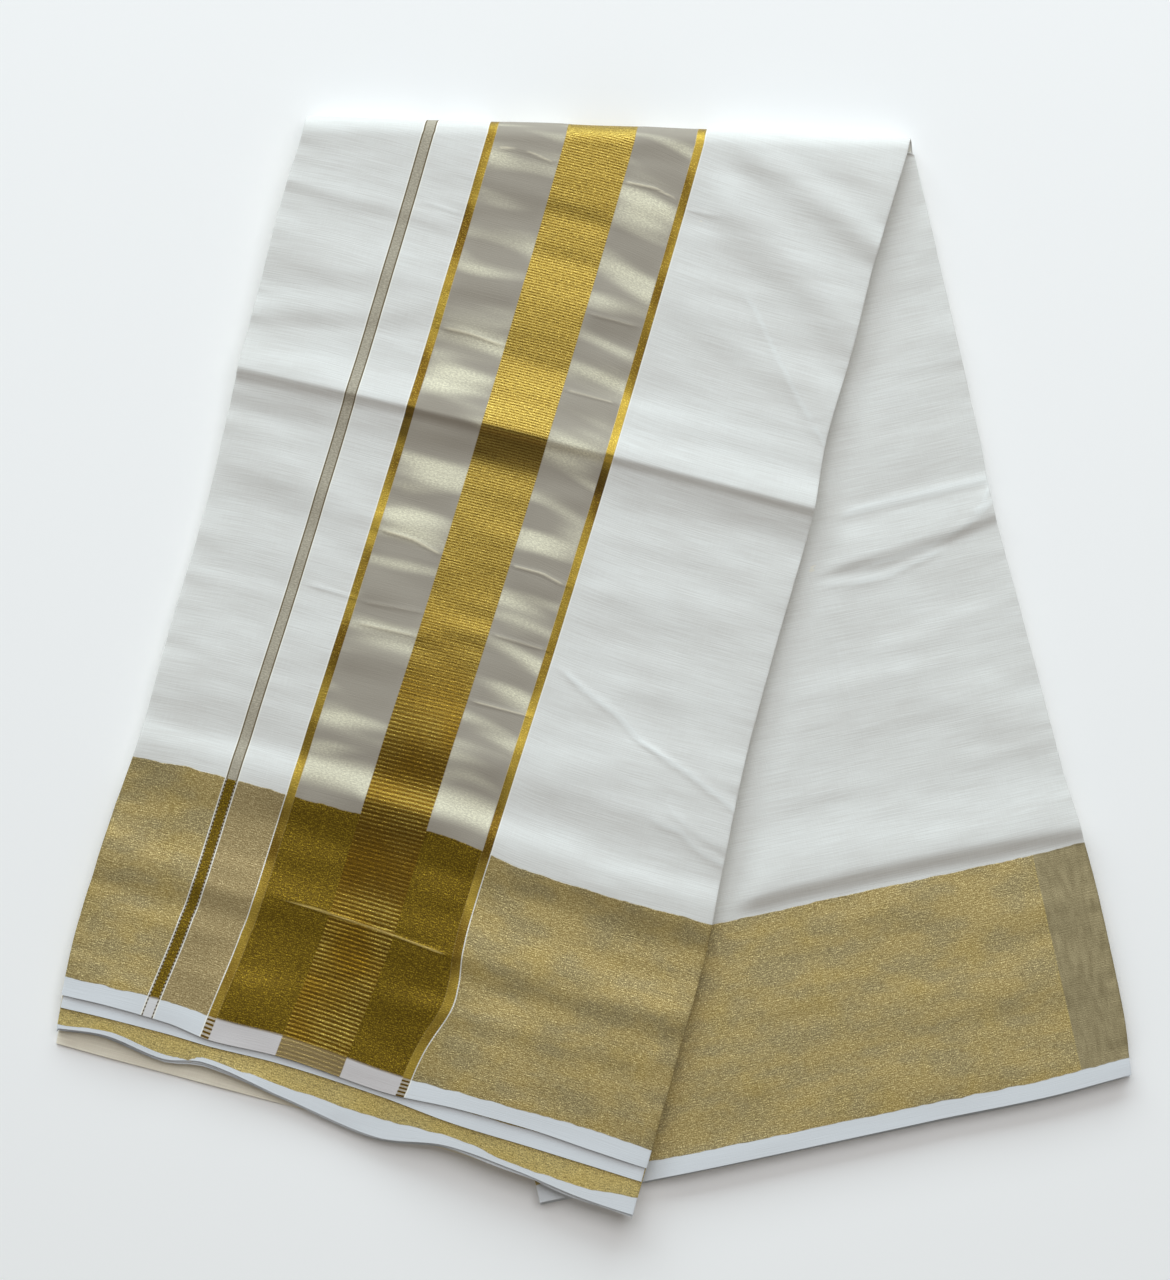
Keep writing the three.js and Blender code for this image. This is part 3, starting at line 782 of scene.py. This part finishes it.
class Fabric:
    """A material in the making, with the cloth's own coordinates in millimetres: u across its bands,
    v from its woven edge, and how sharply it is creased."""

    def __init__(self, name):
        self.material = bpy.data.materials.new(name)
        self.material.use_nodes = True
        self.tree = self.material.node_tree
        self.shader = self.tree.nodes["Principled BSDF"]
        attribute = self.tree.nodes.new("ShaderNodeAttribute")
        attribute.attribute_name = "cloth"
        self.place = attribute.outputs["Vector"]
        split = self.tree.nodes.new("ShaderNodeSeparateXYZ")
        self.tree.links.new(self.place, split.inputs[0])
        self.u, self.v, self.creased = (Number(self.tree, split.outputs[axis]) for axis in (0, 1, 2))
        self.edge = self.v + self.noise(11, 200, 2.0, offset=11.0) * 2.4 - 1.2  # v, a little uneven

        # The zari's grain, and its fine bright flecks
        self.fleck = self.noise(0.8, 0.7, 2.0, 0.7)
        fine = self.noise(3.0, 0.8, 2.0, 0.6, offset=5.0)
        self.glitter = (self.fleck * 0.7 + fine * 0.3).ramp(0.5, 0.68)
        self.grain = (fine * 0.4 + self.fleck * 0.6).ramp(0.34, 0.56)

    def noise(self, size_u, size_v, detail=2.0, roughness=0.5, offset=0.0):
        """Noise about 0.5 whose spots are of the given size."""
        place = self.tree.nodes.new("ShaderNodeMapping")
        place.inputs["Scale"].default_value = (1 / size_u, 1 / size_v, 0)
        place.inputs["Location"].default_value = (offset, offset * 0.7, 0)
        self.tree.links.new(self.place, place.inputs[0])
        node = self.tree.nodes.new("ShaderNodeTexNoise")
        node.inputs["Scale"].default_value = 1.0
        node.inputs["Detail"].default_value = detail
        node.inputs["Roughness"].default_value = roughness
        self.tree.links.new(place.outputs[0], node.inputs["Vector"])
        return Number(self.tree, node.outputs["Fac"])

    def finish(self, colour, roughness, metallic, height):
        self.tree.links.new(colour.socket, self.shader.inputs["Base Color"])
        self.tree.links.new(roughness.socket, self.shader.inputs["Roughness"])
        self.tree.links.new(metallic.socket, self.shader.inputs["Metallic"])
        bump = self.tree.nodes.new("ShaderNodeBump")
        bump.inputs["Distance"].default_value = WEAVE_DEPTH
        self.tree.links.new(height.socket, bump.inputs["Height"])
        self.tree.links.new(bump.outputs[0], self.shader.inputs["Normal"])
        for slot, value in SHEEN.items():
            self.shader.inputs[slot].default_value = value
        return self.material


def cotton(f, weave, tone):
    dark, light = (srgb(*colour) for colour in THREADS["cotton"])
    dark, light = ([value * share for value, share in zip(c, (*tone, 1))] for c in (dark, light))
    blotch = f.noise(40, 25, 2.0, offset=3.0)
    return (weave * 0.7 + blotch * 0.3).ramp(0.32, 0.68).colour(dark, light)


def border_gold(f, dull_from, lighter_gold):
    """The border's gold: tan at a distance, with fine bright flecks. It is dull to the right of
    dull_from, beyond a bright seam."""
    worn = f.noise(30, 14, 3.0, offset=7.0).ramp(0.36, 0.66)
    rich = f.noise(26, 34, 2.0, offset=27.0).ramp(0.5, 0.72)
    ground = (rich * 0.5).colour(worn.thread("border"), "border_rich")
    gold = f.glitter.colour(f.grain.colour(worn.thread("border_deep"), ground), "border_fleck")
    gold = (f.grain * lighter_gold).colour(gold, "border_lighter")
    if dull_from:
        dull_noise = f.noise(3.0, 12, 2.0, offset=33.0)
        faded = (dull_noise * 0.4 + f.fleck * 0.6).ramp(0.25, 0.75).thread("border_faded")
        seam = f.u.within(dull_from - 1.2, dull_from, 0.4) * f.glitter * 0.8
        gold = f.u.beyond(dull_from, 0.5).colour(seam.colour(gold, "border_seam"), faded)
    return gold


def gold_bands(f, ribs, bend, above):
    """The pallu's middle band, with ribs towards the hem and close threads towards the far fold, its
    gold stripes, and the ladder of threads that they end in. above is 0 on the selvedge, where both
    are plainer, and 1 beyond it."""
    near_hem = ~f.v.ramp(*RIBS_FADE)
    threads = (f.v + bend * 0.5).waves(THREAD_PITCH, -0.8)
    high = (f.glitter * 0.5 + threads * 0.4).colour(f.grain.thread("band_high"), "band_fleck")
    # Painted shade: the ribs are dimmer in two belts across the band, where folds slope away from the light
    painted_shade = f.v.within(**PALLU_PLACES["painted_shade"]) + f.v.within(**PALLU_PLACES["painted_shade_beyond"]) * 0.7
    shine = (ribs * 1.2 + f.glitter * 0.1) * (painted_shade * -0.6 + ~f.v.ramp(*RIBS_SHINE) * 0.35 + 1)
    patch = f.noise(30, 40, 1.0, offset=17.0).ramp(0.3, 0.7)
    low = shine.colour(f.grain.thread("band_low"), patch.thread("band_rib"))
    # Painted shade: a dark belt on the gold band and stripes just below the main crease, where its slope
    # faces away from the light
    painted_crest_shade = f.v.within(**PALLU_PLACES["painted_crest_shade"]) * 0.65
    band = painted_crest_shade.colour(near_hem.colour(high, low), "band_painted_crest_shade")
    stripe = painted_crest_shade.colour((f.glitter * 0.5 + patch * 0.5).thread("stripe"), "stripe_painted_crest_shade")
    ladder = f.v.waves(LADDER_PITCH, -0.3, 0.3)
    band = above.colour((ribs * 0.8).thread("band_end"), band)
    stripe = above.colour(ladder.thread("stripe_end"), stripe)
    return band, stripe, ladder


def pallu_colour(f, colour, border, ribs, bend):
    """The pallu's tissue, stripes and gold band, laid over the border and the plain cloth."""
    u, v = f.u, f.v
    above = v.beyond(SELVEDGE, 1)
    body = f.edge.beyond(BORDER_TOP)
    # Painted highlights on the tissue: soft patches across it, broken up by fine sparkle
    painted_shimmer = f.noise(70, 15, 1.0, 0.4, offset=13.0).ramp(0.45, 0.75)
    spark = f.noise(1.6, 0.7, 2.0, 0.7, offset=15.0).ramp(0.35, 0.7)
    # a painted highlight belt across the tissue, just above the border
    painted_highlight_belt = v.within(**PALLU_PLACES["painted_highlight_belt"]) * 0.9
    tissue = (painted_shimmer.most(painted_highlight_belt) * (spark * 0.5 + 0.5)).thread("tissue")
    olive = f.glitter.colour(f.grain.thread("olive"), "olive_fleck")
    band, stripe, ladder = gold_bands(f, ribs, bend, above)

    between = f.glitter.colour(f.grain.thread("between"), "between_fleck")
    colour = (u.within(THIN_STRIPE[1], STRIPE_1[0]) * border).colour(colour, between)
    across_border = above.colour("tissue_end", body.colour(olive, tissue))
    colour = u.within(STRIPE_1[1], STRIPE_2[0]).colour(colour, across_border)
    thin = above.colour("thin_end", body.colour(olive, spark.thread("thin")))
    for (low, high), over in (
        (GOLD_BAND, band),
        (STRIPE_1, stripe),
        (STRIPE_2, stripe),
        (THIN_STRIPE, thin),
    ):
        colour = u.within(low, high).colour(colour, over)
    dark = body.colour(ladder.thread("thin_ladder"), "thin_line")
    for low in (THIN_STRIPE[0], THIN_STRIPE[1] - DARK_LINE):
        colour = u.within(low, low + DARK_LINE, 0.15).colour(colour, dark)
    for low in (THIN_STRIPE[0] - WHITE_LINE, THIN_STRIPE[1], STRIPE_1[0] - WHITE_LINE, STRIPE_2[1]):
        colour = u.within(low, low + WHITE_LINE, 0.15).colour(colour, "white_line")
    return colour


def kasavu(name, pallu=False, tone=(1, 1, 1), dull_from=None, bordered=True, lighter_gold=0.0):
    """Cream cotton with a gold border along its woven edge, and on the pallu, bands of gold. tone
    multiplies the cotton's colour, the border is dull beyond dull_from, and the last share mixes the border's
    gold towards a lighter gold."""
    f = Fabric(name)
    weave = f.noise(26, 0.6, 2.0) * 0.8 + f.noise(0.7, 9, 1.0, offset=9.0) * 0.2
    border = f.edge.within(SELVEDGE, BORDER_TOP) * float(bordered)
    plain_edge = ~f.edge.beyond(SELVEDGE) * float(bordered)
    colour = plain_edge.colour(cotton(f, weave, tone), "selvedge")
    colour = border.colour(colour, border_gold(f, dull_from, lighter_gold))
    zari = border

    if pallu:
        bend = f.noise(14, 3, 2.0, offset=19.0)
        ribs = (f.v + bend * 0.9).waves(RIB_PITCH, -0.4) * (bend + 0.25) * (f.glitter * 0.7 + 0.3)
        colour = pallu_colour(f, colour, border, ribs, bend)
        bands = f.u.within(*GOLD_BAND).most(f.u.within(*STRIPE_1)).most(f.u.within(*STRIPE_2))
        middle = f.u.within(STRIPE_1[1], STRIPE_2[0])
        zari = border.most(bands).most(middle * 0.4)
        weave = weave + ribs * f.u.within(*GOLD_BAND) * ~f.v.ramp(*RIBS_FADE) * 1.4

    # A sharp crease is painted pale: a painted highlight along its ridge
    painted_crease_highlight = zari.thread("crease")
    colour = (f.creased.ramp(0.2, 0.6) * (zari * 0.4 + 0.3)).colour(colour, painted_crease_highlight)
    metallic = zari * (f.glitter * 0.25 + 0.42)
    if pallu:
        metallic = metallic + zari * 0.14 + bands * 0.15
    return f.finish(colour, zari.ramp(0, 1, 0.88, 0.44), metallic, weave + f.fleck * zari * 1.2)


COTTON = kasavu("kasavu_cotton")
BODY = kasavu("kasavu_body", dull_from=142.0)
# The hidden layers' cotton is painted lighter and warmer: painted light where they lie in the stack's shade
HIDDEN_PAINTED_LIGHT = kasavu("kasavu_hidden", tone=(1.1, 1.07, 1.0))
# The third leaf's border gold is mixed lighter than the other leaves'
THIRD = kasavu("kasavu_third", lighter_gold=0.4)
# The inner leaf is a warmer cream, painted lighter too: painted light where it lies in shade under the hems
# above it
INNER = kasavu("kasavu_inner", tone=(1.24, 1.16, 1.0), bordered=False)
PALLU = kasavu("kasavu_pallu", pallu=True)

# ---- The pieces ----
LEFT_NEAR = (184, 366, 404)  # stations of the sharpest folds, where rows lie closer together
PINCHES = (20, 34, 46, 57, 107, 135, 151, 181, 255, 295, 306, 333, 471)  # and of creases across a leg
RIGHT_NEAR = (268, 434)
LAST = dict(pallu=555, second=560, third=560, inner=572, hidden=572, right=582)  # stations at the hems
HEM_SHEET_FROM = 430.0  # the second and third leaf show at the hem alone, and begin here
APART = 0.3  # between the end of a sheet and the one that it would meet
OUTERMOST = PAIRS - 1


def dress(piece, node, material):
    piece.data.materials.append(material)
    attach(piece, "root")
    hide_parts(node)


pallu_leaf = lay(
    "pallu_sheet",
    leaf_columns(*reversed(pair_depths(OUTERMOST)), pitch=3.2),
    left=dict(
        stations=stations(LEFT.fold_station, LAST["pallu"], pitch=2.3, near=PINCHES, fine=0.9, reach=4.0),
        hem="pallu",
    ),
    turn_steps=16,
)
dress(pallu_leaf, "pallu_leaf", PALLU)

body_leaf = lay(
    "body_sheet",
    leaf_columns(*pair_depths(0), pitch=3.6, number=2),
    right=dict(stations=stations(RIGHT.fold_station, LAST["right"], pitch=2.2), hem="body"),
    turn_steps=6,
)
dress(body_leaf, "body_leaf", BODY)

base_leaf = lay(
    "base_sheet",
    leaf_columns(*reversed(pair_depths(OUTERMOST)), pitch=12, number=4),
    right=dict(stations=stations(RIGHT.fold_station + APART, LAST["right"], pitch=5), hem="base"),
)
dress(base_leaf, "base_leaf", COTTON)

inner_leaf = lay(
    "inner_sheet",
    leaf_columns(*pair_depths(0), pitch=6, number=6),
    left=dict(stations=stations(LEFT.fold_station + APART, LAST["inner"], pitch=5), hem="inner"),
    inset=1.0,
)
dress(inner_leaf, "inner_leaf", INNER)

for hem, slot, material, pair, inset, selvedge in (
    ("second", "cotton", COTTON, 6, 0.8, "pallu_selvedge"),
    ("third", "zari", THIRD, 5, 0.3, "third_selvedge"),
):
    sheet = lay(
        hem + "_sheet",
        leaf_columns(*reversed(pair_depths(pair)), pitch=3.2, number=8 + pair, under_shares=CLOSE_SHARES),
        left=dict(stations=stations(HEM_SHEET_FROM, LAST[hem], pitch=3), hem=hem, selvedge=selvedge),
        inset=inset,
    )
    dress(sheet, hem + "_leaf", material)

# The hidden layers, right round the far fold. On the left leg they end where the sheets of the hem
# begin: from there on pairs 6 and 5 are the second and third leaf, and pairs 1 to 4 are hem_pairs
right_rows = dict(
    stations=stations(RIGHT.fold_station, LAST["right"], pitch=8, near=RIGHT_NEAR),
    hem="body",
)
left_rows = dict(
    stations=stations(LEFT.fold_station, HEM_SHEET_FROM - APART, pitch=8, near=LEFT_NEAR),
    hem="third",
    to_hem=False,
)
bundles = [
    lay(
        name,
        zigzag_columns(first, last),
        right=right_rows,
        left=left_rows,
        turn_steps=12,
        inset=0.8,
        wander=0.9,
        ragged=4.0,
    )
    for name, first, last in (("inner_pairs", 1, 4), ("outer_pairs", 5, 6))
]
hem_pairs = lay(
    "hem_pairs",
    zigzag_columns(1, 4, [step / 24 for step in range(23, 0, -1)]),
    left=dict(
        stations=stations(HEM_SHEET_FROM, LAST["hidden"], pitch=6),
        hem="third",
        selvedge="third_selvedge",
    ),
    inset=0.8,
    wander=0.9,
    ragged=-2.4,
)
hidden = join("hidden_sheets", [*bundles, hem_pairs])
dress(hidden, "folded_layers", HIDDEN_PAINTED_LIGHT)

# ---- The camera, over the photograph's middle, and the light ----
VIEW_HEIGHT = 719.0  # millimetres that the picture covers from top to bottom
VIEW_MIDDLE = (-14.05, -289.4)  # from the middle of the fold's far side
ELEVATION = math.radians(87.0)
DISTANCE = 2000.0
SENSOR = 36.0
AIM_HEIGHT = 8.0
target = (SHIFT + np.array([*VIEW_MIDDLE, AIM_HEIGHT])) * MM
camera = bpy.data.objects.new("camera", bpy.data.cameras.new("camera"))
camera.data.sensor_width = SENSOR
camera.data.lens = SENSOR * DISTANCE / VIEW_HEIGHT
camera.location = target + DISTANCE * MM * np.array([0, -math.cos(ELEVATION), math.sin(ELEVATION)])
camera.rotation_euler = (math.pi / 2 - ELEVATION, 0, 0)
bpy.context.scene.collection.objects.link(camera)
bpy.context.scene.camera = camera


# The window is a large cool one beyond the far fold. Places and sizes are in metres
LIGHTS = (
    dict(name="window", place=(-0.8, 7.2, 3.5), size=(9.6, 4.0), power=665, colour=(0.82, 0.94, 1.0)),
    dict(name="ceiling", place=(0.3, 1.3, 2.9), size=(3.6, 1.8), power=51, colour=(0.95, 0.97, 1.0)),
    dict(name="room", place=(-0.6, -2.8, 1.1), size=(3.0, 1.6), power=10, colour=(1.0, 0.9, 0.78)),
)
SKY = dict(colour=(1.0, 0.965, 0.90, 1.0), strength=0.165)
FLOOR = dict(size=8, drop=0.0003, colour=(0.96, 0.95, 0.94, 1.0), roughness=0.9)


def area_light(name, place, size, power, colour):
    """A soft light that faces the middle of the frame."""
    light = bpy.data.lights.new(name, "AREA")
    light.shape = "RECTANGLE"
    light.size, light.size_y = size
    light.energy = power
    light.color = colour
    lamp = bpy.data.objects.new(name, light)
    lamp.location = place
    aim = -np.array(place)
    lamp.rotation_euler = (math.atan2(math.hypot(aim[0], aim[1]), -aim[2]), 0, math.atan2(-aim[0], aim[1]))
    bpy.context.scene.collection.objects.link(lamp)


for light in LIGHTS:
    area_light(**light)
world = bpy.data.worlds.new("world")
world.use_nodes = True
background = world.node_tree.nodes["Background"]
background.inputs["Color"].default_value = SKY["colour"]
background.inputs["Strength"].default_value = SKY["strength"]
bpy.context.scene.world = world
bpy.context.scene.view_settings.view_transform = "Standard"

bpy.ops.mesh.primitive_plane_add(size=FLOOR["size"], location=(0, 0, -FLOOR["drop"]))
floor = bpy.context.object
floor.name = "floor"
paint = bpy.data.materials.new("floor")
paint.use_nodes = True
shader = paint.node_tree.nodes["Principled BSDF"]
shader.inputs["Base Color"].default_value = FLOOR["colour"]
shader.inputs["Roughness"].default_value = FLOOR["roughness"]
floor.data.materials.append(paint)
